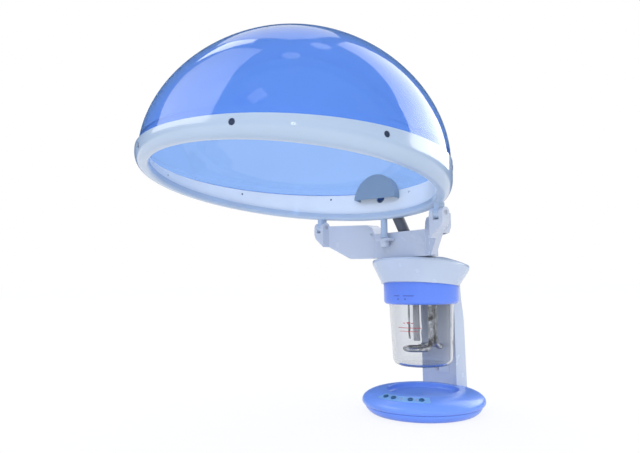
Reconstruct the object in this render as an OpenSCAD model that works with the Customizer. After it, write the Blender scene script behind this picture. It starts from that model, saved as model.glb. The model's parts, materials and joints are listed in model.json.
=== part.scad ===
// Hair steamer: a round base with a rear column, a steam head over a glass jar, and a hood on a carrier.
// Frame: origin under the middle of the base, +Z up, -Y is the side the user faces. Millimetres.

/* [Base] */
// Radius of the base at its widest rim
base_r = 88.5; // [84:0.5:94]
// Height of the widest rim above the table
base_rim_z = 16.5; // [15:0.5:19]
// Radius of the base where it meets the feet
foot_r = 77; // [72:0.5:80]
// Radius of the round recess under the jar
recess_r = 51; // [48:0.5:54]
// Height of the recess rim above the table
recess_z = 32; // [30:0.5:36]
// Depth of the recess
recess_depth = 8.5; // [6:0.5:10]
// Wall of the base shells
base_wall = 2.5; // [2:0.1:3]
// Radius of the circle that the rubber feet stand on
feet_circle_r = 67; // [60:0.5:68]
// Radius of one rubber foot
foot_pad_r = 8; // [6:0.5:8]
// Height that a rubber foot stands below the shell
foot_pad_h = 2; // [1.5:0.1:3]
// Thickness of the iron disc that weighs the base down
ballast_h = 15.5; // [8:0.5:15.5]

/* [Control panel] */
// Middle radius of the curved panel strip
panel_r = 72; // [70:0.5:74]
// Width of the panel strip
panel_w = 15; // [13:0.5:17]
// Angle that the strip spans round the base
panel_span = 60; // [56:1:70]
// Angle of the strip's middle from the front
panel_turn = 7; // [0:1:15]
// Thickness of the strip
panel_t = 0.8; // [0.6:0.1:1]
// Radius of a button cap
button_r = 3.6; // [3:0.1:3.8]
// Travel of a button
button_travel = 0.8; // [0.5:0.1:1]

/* [Column and head] */
// Width of the column
column_w = 57; // [52:0.5:62]
// Place of the column's back face
column_back_y = 85; // [82:0.5:86]
// Radius of the column's rear corners
column_corner_r = 12; // [6:0.5:14]
// Wall of the column and the head
shell_wall = 2.5; // [2:0.1:3]
// Height of the seam between column and head
column_top_z = 172; // [168:0.5:175]
// Radius of the head at its top seam
head_r = 71; // [69:0.5:74]
// Height of the head's seam plane on the jar's axis
head_seam_z = 210.5; // [205:0.5:213]
// Fall of that seam towards the back
head_seam_slope = 9; // [7:0.5:10]
// Height of the skirt's edge on the jar's axis
skirt_z = 181.5; // [180:0.5:184]
// Fall of the skirt's edge towards the back
skirt_slope = 5.5; // [3:0.5:7]
// Crown of the head's top cover
cover_crown = 13.5; // [8:0.5:15]
// Radius of the rounding behind the head
neck_round_r = 22; // [16:0.5:26]

/* [Jar and heater] */
// Place of the jar's axis behind the middle of the base
jar_y = 3; // [2:0.5:4]
// Outer radius of the collar that holds the jar
collar_r = 55; // [54:0.5:56]
// Lower edge of the collar
collar_z = 154.5; // [150:0.5:158]
// Outer radius of the jar at the collar
jar_r = 47.5; // [46:0.5:48]
// Outer radius of the jar near its bottom
jar_low_r = 43.5; // [41:0.5:45]
// Underside of the jar
jar_z = 66; // [60:0.5:70]
// Wall of the glass
glass_wall = 2.6; // [2:0.1:3.2]
// Rounding of the jar's lower corner
jar_corner_r = 10; // [6:0.5:12]
// Radius of the heater tube
heater_r = 3.5; // [3:0.1:4]
// Radius of each heater loop, to the middle of the tube
heater_loop_r = 16; // [14:0.5:16.5]
// Height of the heater loops
heater_z = 91; // [86:0.5:94]

/* [Hood carrier] */
// Place of the steam outlet in front of the middle of the base
outlet_y = -38; // [-40:0.5:-36]
// Radius of the carrier's spigot in the outlet
spigot_r = 13; // [11:0.5:13]
// Length of the spigot
spigot_l = 20; // [16:0.5:22]
// Running clearance of the spigot and of the hinge pins
running_gap = 0.05; // [0.03:0.01:0.08]
// Swing of the carrier to one side, as it stands at rest
carrier_turn = -11; // [-20:1:0]
// Underside of the carrier's hub
hub_z = 222; // [221:0.5:224]
// Height of the hub
hub_h = 36.5; // [34:0.5:38]
// Half width of the hub
hub_half_w = 48; // [46:0.5:50]
// Depth of the hub
hub_d = 27; // [25:0.5:28]
// Half width of the carrier over its ears
ear_outer_x = 122.5; // [120:0.5:126]
// Width of one ear
ear_w = 20.5; // [19:0.5:24]
// Wall of the carrier
carrier_wall = 2.5; // [2:0.1:3]
// Distance of the hinge pins in front of the outlet
hinge_reach = 63; // [61:0.5:65]
// Height of the hinge pins
hinge_z = 270.5; // [269:0.5:272]
// Radius of a hinge pin
hinge_pin_r = 3; // [2.5:0.1:3.5]

/* [Hood] */
// Distance of the dome's rear edge in front of the outlet
hood_back = 14.5; // [12:0.5:16]
// Height of the hood's mouth in its middle
hood_z = 301.5; // [300:0.5:304]
// Tilt of the mouth, front edge up
hood_tilt = 7.8; // [7:0.1:9]
// Radius of the dome at its seam with the rim
dome_r = 187; // [185:0.5:189]
// Height of the dome over its seam
dome_h = 163; // [150:1:175]
// Roundness of the dome, where 2 is an ellipse
dome_power = 1.88; // [1.7:0.02:2.2]
// Wall of the dome
dome_wall = 1.6; // [1.6:0.1:2.4]
// Height of the rim in its middle
rim_h = 30.5; // [29:0.5:33]
// Rise of the rim's seam towards the back
rim_wedge = 3.8; // [3:0.1:4.2]
// Width of the rim's lip, from the dome's edge to the mouth
lip_w = 14.5; // [13:0.5:16]
// Wall of the rim and of the band inside it
rim_wall = 2.2; // [2:0.1:2.6]
// Number of screws round the rim
rim_screw_count = 8; // [6:1:10]

/* [Hidden] */
$fn = 96;

// Clearances: still pieces that meet, moving pieces that pass, and the overlap used inside a union or a cut
seat_gap = 0.1;
pass_gap = 0.4;
bite = 0.5;
far = 600;

// Base, derived
base_seam_z = 11;
shell_z = foot_pad_h;
floor_z = shell_z + base_wall;
recess_floor_z = recess_z - recess_depth;
dome_rise = recess_z - base_rim_z;
dome_run = base_r - recess_r;
ballast_r = 64;
ballast_z = floor_z + seat_gap;
base_screw_r = 1.6;
base_screw_head_r = 3.2;
base_screw_circle_r = 69;
base_screw_turns = [-30, 105, 255];
FEET = [0 : 60 : 300];
boss_r = 4.2;
gland_bore_r = 2.8;
gland_z = 10;
gland_l = 12;
gland_r = 5.6;

// Column, derived: its front hugs the collar
column_front_y = 47;
column_hug_r = collar_r + 1.5;
column_foot_z = ballast_z + ballast_h + seat_gap;
column_screw_x = 18;
column_screw_y = 70;
tab_x = -3;
tab_z = 48;
tab_w = 17;
tab_h = 10;
bay_x = tab_x - 4;
bay_z = tab_z + 4.5;
bay_r = 2.4;

// Head, derived
skirt_wall = 1.2;
skirt_in_r = collar_r + pass_gap;
skirt_out_r = skirt_in_r + skirt_wall;
head_top_z = 240;
cup_h = 27.5;
cup_low_r = skirt_out_r + 0.4;
landing_r = 58;
cover_lip = 1.5;
cover_y = 6;
cover_sphere_r = (pow(head_r, 2) + pow(cover_crown, 2)) / (2 * cover_crown);

// Jar stack, derived, from the collar's ledge upwards
ledge_z = collar_z + 9;
jar_flange_z = ledge_z + seat_gap;
jar_flange_h = 4;
jar_flange_r = jar_r + 3;
jar_top_z = jar_flange_z + jar_flange_h;
jar_seal_h = 2.6;
flange_z = jar_top_z + jar_seal_h + pass_gap;
flange_h = 4.5;
flange_r = 48;
lock_z = flange_z + flange_h + seat_gap;
collar_top_z = lock_z + 12;
head_floor_z = collar_top_z + pass_gap;
head_floor_top_z = head_floor_z + shell_wall;
lug_count = 3;
lug_span = 36;
lug_in_r = 49.6;
lug_z = lock_z + 5;
lug_h = 3;
collar_in_r = collar_r - 2.6;

// Heater, derived
heater_x = 2;
heater_loop_y = 20.5;
heater_leg_y = 7;
heater_bend_r = heater_loop_y - heater_leg_y;
heater_waist_r = 6.5;
heater_waist_x = sqrt(pow(heater_loop_r + heater_waist_r, 2) - pow(heater_loop_y, 2));
heater_waist_a = atan2(heater_loop_y, heater_waist_x);

// Carrier, derived
wing_front = [hub_half_w, -hub_d / 2];
ear_in_x = ear_outer_x - ear_w;
ear_d = 14;
wing_end = [ear_in_x, 5 - hinge_reach];
wing_v = wing_end - wing_front;
wing_a = atan2(wing_v[1], wing_v[0]);
wing_l = norm(wing_v) + 8;
wing_root = 16;
wing_w = 8.5;
wing_box_w = 17.5;
wing_box_z = hub_z + 25;
wing_top_z = hub_z + hub_h + 14;
wing_flat_x = 77;
wing_rise_z = 34;
ear_round_r = 7;
lug_w = 8;
lug_rise = 13.3;
lug_x = ear_outer_x - ear_w / 2;
slot_w = lug_w + 2 * pass_gap;
hub_top_z = hub_z + hub_h;
cover_t = 2.5;
cover_screw_x = 36;
throat_w = 19;
bead = 0.2;
pipe_r = 8;
pipe_wall = 1.6;
pipe_foot = [0, -1, 243];
pipe_knee = [0, -1, 258];
pipe_head = [-3, -26, 303];
spout_r = 4.8;
spout_at = [-20, -22.5];
tray_r = 6.6;
tray_h = 13;
tray_wall = 1.3;
tray_top_z = hub_z + 27.5;
ledge_h = 3.5;
ledge_l = 9.5;
ledge_r = 12;
spout_z = tray_top_z + 1;
spout_l = hood_z - spout_z - 22;

// Hood, derived
hood_reach = dome_r + hood_back;
mouth_r = dome_r - lip_w;
rim_out_r = dome_r + 3;
rim_round_z = 17;
lip_mid_r = mouth_r + lip_w / 2 + 0.25;
screw_seat_r = rim_out_r - 2;
screw_bore_r = 1.7;
band_r = mouth_r + 4;
screw_inner_r = band_r + 1;
rim_top_z = 60;
skirt_l = 12;
skirt_r = dome_r - rim_wall - 1.5;
rim_screw_drop = 8;
rim_screw_turn = 10;
baffle_turn = 8;
baffle_r = 36;
baffle_d = 16;
baffle_z = 27.5;
dome_steps = 26;

// Points of an elliptical arc about c with half sizes s, from angle a0 to a1 in n steps
function arc(c, s, a0, a1, n) = [
    for (i = [0 : n]) [c[0] + s[0] * cos(a0 + (a1 - a0) * i / n), c[1] + s[1] * sin(a0 + (a1 - a0) * i / n)]
];

// Radius of the dome at height h over its seam, with the wall w taken off
function dome_at(h, w) = (dome_r - w) * pow(max(0, 1 - pow(h / (dome_h - w), dome_power)), 1 / dome_power);

// Points on the dome's skin, inset by w, from step a to step b
function dome_curve(w, a, b) = [
    for (i = [a : (b > a ? 1 : -1) : b]) let (h = (dome_h - w) * sin(90 * i / dome_steps)) [dome_at(h, w), h]
];

// Height and slope of the base's top surface at radius r
function top_z(r) = base_rim_z + dome_rise * sin(acos((r - recess_r) / dome_run));
function top_slope(r) = atan2(top_z(r - 1) - top_z(r + 1), 2);

module tube(h, r_out, r_in) {
    difference() {
        cylinder(h = h, r = r_out);
        translate([0, 0, -bite]) cylinder(h = h + 2 * bite, r = r_in);
    }
}

// A sector of a ring, from angle a0, spanning da, between two radii
module ring_sector(h, r_out, r_in, a0, da) {
    rotate([0, 0, a0]) rotate_extrude(angle = da) translate([r_in, 0]) square([r_out - r_in, h]);
}

module on_jar() {
    translate([0, jar_y, 0]) children();
}

module on_swivel() {
    translate([0, outlet_y, 0]) rotate([0, 0, carrier_turn]) children();
}

// The hood's frame lies in its mouth, and the seam's frame on top of its rim
module on_hood() {
    on_swivel() translate([0, -hood_reach, hood_z]) rotate([-hood_tilt, 0, 0]) children();
}

module on_seam() {
    translate([0, 0, rim_h]) rotate([rim_wedge, 0, 0]) children();
}

// Everything above a plane through the origin
module upper_half() {
    translate([-far / 2, -far / 2, 0]) cube(far);
}

// A place on the base's top slope, turned to the slope, at an angle from the front
module on_slope(turn, r) {
    rotate([0, 0, turn]) translate([0, -r, top_z(r)]) rotate([top_slope(r), 0, 0]) children();
}

// Base

module base_top_profile(inset) {
    r = base_r - inset;
    low = base_seam_z - (inset > 0 ? bite : 0);
    polygon(concat(
        [[0, recess_floor_z - inset], [recess_r - 3 + inset, recess_floor_z - inset]],
        arc([recess_r - 3 + inset, recess_floor_z + 3 - inset], [3, 3], -90, 0, 5),
        arc([recess_r + 1.5, recess_z - 1.5 - inset], [1.5 - min(inset, 1), 1.5 - min(inset, 1)], 180, 90, 5),
        arc([recess_r + 2, base_rim_z], [r - recess_r - 2, dome_rise - 0.2 - inset], 84, 0, 14),
        arc([base_r - 6, base_rim_z], [6 - inset, base_rim_z - base_seam_z], 0, -70, 5),
        [[base_r - 5 - inset, low], [0, low]]
    ));
}

module base_top_shell() {
    color("royalblue") difference() {
        rotate_extrude($fn = 128) difference() {
            base_top_profile(0);
            base_top_profile(base_wall);
        }
        column_plan(base_seam_z - bite, 60, -pass_gap / 2);
        panel_pocket();
        for (b = BUTTONS) on_slope(b, panel_r) translate([0, 0, -8])
            cylinder(h = 12, r = button_r + pass_gap / 2);
        for (l = LAMPS) on_slope(l, panel_r) translate([0, 0, -8]) cylinder(h = 12, r = lamp_r + seat_gap);
        gland_place() cylinder(h = gland_l * 2, r = gland_r - 1.4 + seat_gap, center = true);
    }
    color("royalblue") {
        screw_bosses();
        for (a = POSTS) on_slope(a, panel_r) translate([0, 0, -7 - button_travel + seat_gap])
            cylinder(h = 5.6, r = 2);
    }
}

module at_base_screw(a, z) {
    rotate([0, 0, a]) translate([0, -base_screw_circle_r, z]) children();
}

module screw_bosses() {
    for (a = base_screw_turns) at_base_screw(a, base_seam_z + 1) difference() {
        cylinder(h = top_z(base_screw_circle_r) - base_seam_z - base_wall - 0.4, r = boss_r);
        translate([0, 0, -bite]) cylinder(h = 8, r = base_screw_r);
    }
}

module base_bottom_profile(inset) {
    high = base_seam_z - seat_gap + (inset > 0 ? bite : 0);
    polygon(concat(
        [[0, shell_z + inset], [foot_r - 4, shell_z + inset]],
        arc([foot_r - 4, shell_z + 4], [4 - inset / 2, 4 - inset], -90, -35, 4),
        [[base_r - 5.4 - inset, base_seam_z - 1.2], [base_r - 5.2 - inset, base_seam_z - seat_gap]],
        [[base_r - 5.2 - inset, high], [0, high]]
    ));
}

module base_bottom_shell() {
    color("royalblue") difference() {
        union() {
            rotate_extrude($fn = 128) difference() {
                base_bottom_profile(0);
                base_bottom_profile(base_wall);
            }
            for (a = base_screw_turns) at_base_screw(a, floor_z - bite)
                cylinder(h = base_seam_z + 1 - seat_gap - floor_z + bite, r = boss_r);
            each_column_screw(floor_z - bite)
                cylinder(h = column_foot_z - seat_gap - floor_z + bite, r = boss_r);
        }
        for (a = base_screw_turns) at_base_screw(a, 0) {
            cylinder(h = 20, r = base_screw_r + seat_gap);
            cylinder(h = shell_z + 3, r = base_screw_head_r + 0.3);
        }
        for (a = FEET) rotate([0, 0, a]) translate([0, -feet_circle_r, 0])
            cylinder(h = shell_z + 1, r = foot_pad_r + seat_gap);
        each_column_screw(0) {
            cylinder(h = 40, r = base_screw_r + seat_gap);
            cylinder(h = shell_z + 1.2, r = base_screw_head_r + 0.3);
        }
        gland_place() cylinder(h = gland_l * 2, r = gland_r - 1.4 + seat_gap, center = true);
    }
}

module rubber_feet() {
    color("dimgray") for (a = FEET) rotate([0, 0, a]) translate([0, -feet_circle_r, 0])
        rotate_extrude() polygon([
            [0, 0], [foot_pad_r - 0.8, 0], [foot_pad_r, 0.8], [foot_pad_r, shell_z + 1], [0, shell_z + 1]
        ]);
}

module ballast_disc() {
    color("gray") difference() {
        translate([0, 0, ballast_z]) cylinder(h = ballast_h, r = ballast_r);
        translate([0, 0, ballast_z + ballast_h - 1.5]) cylinder(h = 5, r = 14);
    }
}

module base_screws() {
    color("silver") for (a = base_screw_turns) at_base_screw(a, shell_z + 1) {
        cylinder(h = 2, r = base_screw_head_r);
        cylinder(h = base_seam_z + 6 - shell_z, r = base_screw_r);
    }
}

// Buttons and lamps, by their angle from the front
BUTTONS = [panel_turn - 22, panel_turn - 11, panel_turn + 9, panel_turn + 21];
LAMPS = [panel_turn - 1, panel_turn + 15];
POSTS = [panel_turn - 16.5, panel_turn + 4];
lamp_r = 1.3;
cap_h = 1.6;

module panel_band(rise, t, w, span) {
    rotate([0, 0, -90 + panel_turn - span / 2]) rotate_extrude(angle = span, $fn = 128)
        translate([panel_r, top_z(panel_r)]) rotate([0, 0, -top_slope(panel_r)])
        translate([-w / 2, rise - t]) square([w, t]);
}

module panel_pocket() {
    panel_band(6, 6 + panel_t, panel_w + 2 * seat_gap, panel_span + 0.2);
}

module control_panel() {
    color("paleturquoise") difference() {
        panel_band(0, panel_t - 0.05, panel_w, panel_span);
        for (b = BUTTONS) on_slope(b, panel_r) translate([0, 0, -4])
            cylinder(h = 8, r = button_r + pass_gap / 2);
        for (l = LAMPS) on_slope(l, panel_r) translate([0, 0, -4]) cylinder(h = 8, r = lamp_r + seat_gap);
    }
}

// A cap with a soft edge on a stem that reaches down to the board
module button(turn) {
    color("darkslategray") on_slope(turn, panel_r) {
        rotate_extrude() polygon([
            [0, -6], [button_r, -6], [button_r, cap_h - 0.5], [button_r - 0.5, cap_h], [0, cap_h]
        ]);
    }
}

module button_power() { button(BUTTONS[0]); }
module button_steam() { button(BUTTONS[1]); }
module button_timer() { button(BUTTONS[2]); }
module button_mode() { button(BUTTONS[3]); }

module panel_lamps() {
    color("lightpink") for (l = LAMPS) on_slope(l, panel_r) translate([0, 0, -7 - button_travel + seat_gap]) {
        cylinder(h = 8, r = lamp_r);
        cylinder(h = 1, r = lamp_r + 0.5);
    }
}

// The board hangs under the strip, one bay deep, with a switch under each button
module control_board() {
    color("darkgreen") {
        for (b = BUTTONS) on_slope(b, panel_r) translate([0, 0, -8 - button_travel])
            cylinder(h = 1.6, r = 1.6);
        panel_band(-7 - button_travel, 1.4, panel_w - 3, panel_span - 8);
    }
}

// The lead enters low at the back of the base
module gland_place() {
    translate([0, base_r - 0.4, gland_z + 3]) rotate([-90, 0, 0]) children();
}

module cord_gland() {
    color("dimgray") gland_place() difference() {
        rotate_extrude() polygon([
            [0, -9.5], [gland_r - 1.4, -9.5], [gland_r - 1.4, 0.5], [gland_r - 0.4, 2.2],
            [gland_r - 1.4, 3], [0, 3]
        ]);
        cylinder(h = 40, r = gland_bore_r, center = true);
    }
}

// Column and head

// Plan of the column from z0, h high, grown by g, with its hugging front
module column_plan(z0, h, g) {
    w = column_w / 2 - g;
    rc = column_corner_r - g;
    difference() {
        translate([0, 0, z0]) linear_extrude(h) union() {
            translate([-w, column_front_y - 8])
                square([2 * w, column_back_y - column_corner_r - column_front_y + 8]);
            translate([-w + rc, column_front_y]) square([2 * (w - rc), column_back_y - g - column_front_y]);
            for (x = [-w + rc, w - rc]) translate([x, column_back_y - column_corner_r]) circle(r = rc);
        }
        on_jar() translate([0, 0, z0 - 1]) cylinder(h = h + 2, r = column_hug_r + g);
    }
}

module each_column_screw(z) {
    for (x = [-column_screw_x, column_screw_x]) translate([x, column_screw_y, z]) children();
}

module column() {
    color("aliceblue") difference() {
        column_plan(column_foot_z, column_top_z - column_foot_z, 0);
        difference() {
            column_plan(column_foot_z + 4, column_top_z, shell_wall);
            each_column_screw(0) cylinder(h = 44, r = boss_r);
        }
        each_column_screw(0) cylinder(h = 38, r = base_screw_r);
        // A screw bay in the front, under the jar
        translate([bay_x, column_front_y + 20, bay_z]) rotate([90, 0, 0]) cylinder(h = 40, r = bay_r);
    }
    // A small raised tab beside it
    color("aliceblue") translate([tab_x, jar_y + column_hug_r - 2.6, tab_z]) cube([tab_w, 4, tab_h]);
}

module column_screws() {
    color("silver") {
        each_column_screw(shell_z + 0.2) {
            cylinder(h = 1, r = base_screw_head_r);
            cylinder(h = column_foot_z + 12 - shell_z, r = base_screw_r);
        }
        translate([bay_x, column_front_y + 12.2, bay_z]) rotate([90, 0, 0]) cylinder(h = 2, r = bay_r - 0.1);
    }
}

// Half space above the head's seam, and below its skirt's edge
module above_seam(dz) {
    on_seam_plane(dz) upper_half();
}

module below_skirt() {
    translate([0, jar_y, skirt_z]) rotate([-skirt_slope, 0, 0]) mirror([0, 0, 1]) upper_half();
}

// The flared cup, square to the head's seam, over an upright skirt; w is an inset
module head_cup(w) {
    on_seam_plane(0) rotate_extrude($fn = 128) polygon(concat(
        [[0, -cup_h - 4], [cup_low_r - w - 1, -cup_h - 4], [cup_low_r - w, -cup_h]],
        arc([head_r - 5 - w, -2], [5, 5], -25, 24, 5),
        [[0, sin(24) * 5 - 2]]
    ));
    on_jar() translate([0, 0, 165]) cylinder(h = 25, r = skirt_out_r - w);
}

module on_seam_plane(dz) {
    translate([0, jar_y, head_seam_z + dz]) rotate([-head_seam_slope, 0, 0]) children();
}

// The neck stands on the column and rounds over at the back
module head_neck(w) {
    rr = neck_round_r - w;
    y_back = column_back_y - w;
    intersection() {
        column_plan(column_top_z, head_top_z - column_top_z, w);
        rotate([90, 0, 90]) linear_extrude(far, center = true) union() {
            translate([column_front_y - 10, column_top_z - 1]) {
                square([y_back - rr - column_front_y + 10, 60]);
                square([y_back - column_front_y + 10, neck_top_z() - neck_round_r - column_top_z + 1]);
            }
            // A touch larger than the column's depth allows, so that it crosses the back face
            translate([y_back - rr, neck_top_z() - neck_round_r]) circle(r = rr + seat_gap);
        }
    }
}

// Height of the neck's back rounding, set by the head's seam
function neck_top_z() = head_seam_z - (column_back_y - neck_round_r - jar_y) * tan(head_seam_slope) + 1.5;

module head_outer(w) {
    difference() {
        union() {
            head_cup(w);
            head_neck(w);
        }
        on_jar() translate([0, 0, 150]) cylinder(h = 32, r = skirt_in_r - 0.01);
    }
}

module head_shell() {
    color("aliceblue") difference() {
        union() {
            difference() {
                head_outer(0);
                difference() {
                    head_cup(shell_wall);
                    on_jar() translate([0, 0, 160]) cylinder(h = head_floor_top_z - 160, r = far);
                }
                translate([0, 0, shell_wall]) head_neck(shell_wall);
            }
        }
        above_seam(0);
        below_skirt_cut();
        on_jar() translate([0, 0, 150]) cylinder(h = 80, r = 37);
        on_jar() translate([0, 0, 150]) cylinder(h = head_floor_z - 150, r = skirt_in_r);
    }
}

// The skirt's edge is cut on the cup alone, so the neck keeps its seam with the column
module below_skirt_cut() {
    difference() {
        below_skirt();
        column_plan(column_top_z, 60, 0);
    }
}

module head_cover() {
    color("aliceblue") difference() {
        intersection() {
            union() {
                on_seam_plane(0) translate([0, 0, -5]) cylinder(h = 30, r = head_r);
                head_neck(0);
            }
            above_seam(seat_gap);
            cover_sphere(0);
        }
        intersection() {
            union() {
                on_seam_plane(0) translate([0, 0, -5]) cylinder(h = 30, r = head_r - shell_wall);
                head_neck(shell_wall);
            }
            cover_sphere(shell_wall);
            below_z(hub_z - pass_gap - shell_wall);
        }
        on_outlet() cylinder(h = far, r = socket_r + seat_gap);
        on_outlet() translate([0, 0, hub_z - pass_gap]) cylinder(h = 20, r = landing_r);
    }
}

module below_z(z) {
    translate([0, 0, z]) mirror([0, 0, 1]) upper_half();
}

module cover_sphere(w) {
    translate([0, cover_y, head_seam_z + cover_lip - (cover_y - jar_y) * tan(head_seam_slope)])
        rotate([-head_seam_slope, 0, 0]) translate([0, 0, cover_crown - cover_sphere_r])
        sphere(r = cover_sphere_r - w, $fn = 160);
}

module on_outlet() {
    translate([0, outlet_y, 0]) children();
}

socket_wall = 2.4;
riser_y = outlet_y + 15;
riser_r = 9;
socket_r = spigot_r + running_gap + socket_wall;
socket_top_z = hub_z - pass_gap;
socket_z = socket_top_z - spigot_l - 4;

module outlet_socket() {
    color("whitesmoke") on_outlet() translate([0, 0, socket_z]) difference() {
        cylinder(h = socket_top_z - socket_z, r = socket_r);
        translate([0, 0, 3]) cylinder(h = 60, r = spigot_r + running_gap);
        translate([0, 0, -1]) cylinder(h = 10, r = spigot_r - 4);
    }
}

module outlet_seal() {
    color("dimgray") on_outlet() translate([0, 0, socket_z + 3 + 0.1])
        tube(h = 0.7, r_out = spigot_r - 0.2, r_in = spigot_r - 3.5);
}

// Steam rises from the flange into this chest, which carries the socket
module steam_chest() {
    z_top = socket_z - seat_gap;
    z_low = head_floor_top_z + seat_gap;
    color("gainsboro") difference() {
        union() {
            on_outlet() translate([0, 0, z_low]) cylinder(h = z_top - z_low, r = socket_r);
            translate([0, riser_y, lock_z]) cylinder(h = z_top - lock_z, r = riser_r);
        }
        on_outlet() translate([0, 0, z_low + 1.6]) cylinder(h = 20, r = spigot_r - 4);
        translate([0, riser_y, lock_z - 1]) cylinder(h = z_top - lock_z - 0.6, r = riser_r - 1.6);
    }
}

// Jar, collar and heater

module lock_ring() {
    color("gainsboro") on_jar() translate([0, 0, lock_z]) difference() {
        union() {
            cylinder(h = head_floor_z - seat_gap - lock_z, r = flange_r);
            for (i = [0 : lug_count - 1])
                translate([0, 0, 1.6])
                    ring_sector(3, collar_in_r - pass_gap, flange_r - 2, i * 360 / lug_count, lug_span);
        }
        translate([0, 0, -1]) cylinder(h = 20, r = flange_r - 3);
    }
}

module heater_flange() {
    color("silver") on_jar() difference() {
        translate([0, 0, flange_z]) cylinder(h = flange_h, r = flange_r);
        translate([0, riser_y - jar_y, 0]) cylinder(h = far, r = riser_r - 1.6);
        for (s = [-1, 1]) translate([heater_x + heater_loop_r, s * heater_leg_y, 0])
            cylinder(h = far, r = heater_r + seat_gap);
        translate([tube_at[0], tube_at[1], 0]) cylinder(h = far, r = tube_r + seat_gap);
        translate([probe_at[0], probe_at[1], 0]) cylinder(h = far, r = probe_r + seat_gap);
    }
}

tube_at = [-4, -9];
tube_r = 4.8;
tube_z = 101;
probe_at = [-17, -8];
probe_r = 1.5;
probe_z = 103;

module heater_torus(r, a0, da) {
    rotate([0, 0, a0]) rotate_extrude(angle = da) translate([r, 0]) circle(r = heater_r, $fn = 32);
}

// One bent tube: two legs, a bend under each, and two loops joined at a waist
module heater_element() {
    leg_x = heater_x + heater_loop_r;
    leg_h = lock_z + 4 - heater_z - heater_bend_r;
    color("silver") on_jar() {
        for (s = [-1, 1]) {
            translate([leg_x, s * heater_leg_y, heater_z + heater_bend_r])
                cylinder(h = leg_h, r = heater_r, $fn = 32);
            translate([leg_x, s * heater_loop_y, heater_z + heater_bend_r]) rotate([0, 90, 0])
                heater_torus(heater_bend_r, s > 0 ? -90 : 0, 90);
            translate([heater_x, s * heater_loop_y, heater_z])
                heater_torus(heater_loop_r, s > 0 ? 0 : -180 - heater_waist_a, 180 + heater_waist_a);
            translate([leg_x, s * heater_leg_y, heater_z + heater_bend_r]) sphere(r = heater_r + bead);
            translate([leg_x, s * heater_loop_y, heater_z]) sphere(r = heater_r + bead);
            translate([heater_x - heater_waist_x, 0, heater_z]) rotate([0, 0, s * heater_waist_a])
                translate([heater_waist_r, 0, 0]) sphere(r = heater_r + bead);
        }
        translate([heater_x - heater_waist_x, 0, heater_z])
            heater_torus(heater_waist_r, -heater_waist_a, 2 * heater_waist_a);
    }
}

module level_probe() {
    color("silver") on_jar() translate([probe_at[0], probe_at[1], probe_z])
        cylinder(h = lock_z + 4 - probe_z, r = probe_r);
}

module sensor_tube() {
    color("lightgray") on_jar() translate([tube_at[0], tube_at[1], tube_z]) difference() {
        cylinder(h = lock_z + 4 - tube_z, r = tube_r);
        translate([0, 0, -1]) cylinder(h = 12, r = tube_r - 1.2);
    }
}

module jar_collar() {
    color("cornflowerblue") on_jar() {
        rotate_extrude($fn = 128) polygon(concat(
            [[collar_r, collar_top_z], [collar_in_r, collar_top_z], [collar_in_r, ledge_z]],
            [[jar_r + 0.6, ledge_z], [jar_r + 0.6, collar_z]],
            arc([collar_r - 5, collar_z + 5], [5, 5], -90, 0, 6)
        ));
        for (i = [0 : lug_count - 1]) translate([0, 0, lug_z])
            ring_sector(lug_h, collar_in_r + bite, lug_in_r, i * 360 / lug_count, lug_span);
    }
}

// Profile of the glass, inset by w
module jar_profile(w) {
    polygon(concat(
        [[0, jar_z + w], [jar_low_r - jar_corner_r, jar_z + w]],
        arc([jar_low_r - jar_corner_r, jar_z + jar_corner_r], [1, 1] * (jar_corner_r - w), -90, 0, 8),
        [[jar_r - w, collar_z], [jar_r - w, jar_top_z + (w > 0 ? 1 : 0)], [0, jar_top_z + (w > 0 ? 1 : 0)]]
    ));
}

module glass_jar() {
    color("lightcyan", 0.4) on_jar() rotate_extrude($fn = 128) difference() {
        union() {
            jar_profile(0);
            translate([jar_r - 1, jar_flange_z]) square([jar_flange_r - jar_r + 1, jar_flange_h]);
        }
        jar_profile(glass_wall);
    }
}

module jar_seal() {
    color("whitesmoke") on_jar() translate([0, 0, jar_top_z])
        tube(h = jar_seal_h, r_out = jar_flange_r - 1, r_in = jar_r - glass_wall + 0.4);
}

// Hood carrier

// Outline of the carrier seen from the front
module carrier_front() {
    half = [
        [wing_flat_x, hub_z], [ear_outer_x - 3, hub_z + wing_rise_z - 2.5],
        [ear_outer_x, hub_z + wing_rise_z + 4], [ear_outer_x, hinge_z], [ear_in_x, hinge_z],
        [ear_in_x, wing_top_z], [hub_half_w + 9, wing_top_z], [hub_half_w + 3, wing_top_z - 5],
        [hub_half_w, hub_top_z]
    ];
    polygon(half);
    mirror([1, 0, 0]) polygon(half);
    translate([-wing_flat_x, hub_z]) square([2 * wing_flat_x, hub_h]);
}

// A wall from the hub to the ear, sunk into the hub by its root, with a box beam behind its upper part
module carrier_wing() {
    on_wing() {
        translate([-wing_root, 0, 0]) cube([wing_l + wing_root, wing_w, 80]);
        translate([-wing_root, 0, wing_box_z - hub_z]) cube([wing_l + wing_root, wing_box_w, 80]);
    }
}

module on_wing() {
    translate([wing_front[0], wing_front[1], hub_z]) rotate([0, 0, wing_a]) children();
}

// The beam is open underneath
module wing_pocket() {
    on_wing() translate([carrier_wall, wing_w, 0])
        cube([wing_l - 12, wing_box_w - wing_w - carrier_wall, wing_top_z - hub_z - carrier_wall]);
}

// A screw hole in the wing's face beside the hub
module wing_screw_hole() {
    on_wing() translate([5, 0, hub_h - 1]) rotate([-90, 0, 0]) cylinder(h = 5, r = 2.2, center = true);
}

// The line of the hinge pins, from x outwards
module on_hinge(x) {
    translate([x, -hinge_reach, hinge_z]) rotate([0, 90, 0]) children();
}

module ear_block() {
    translate([ear_in_x, -hinge_reach - ear_d / 2, hub_z]) cube([ear_w, ear_d, 80]);
}

module both_sides() {
    children();
    mirror([1, 0, 0]) children();
}

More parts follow.
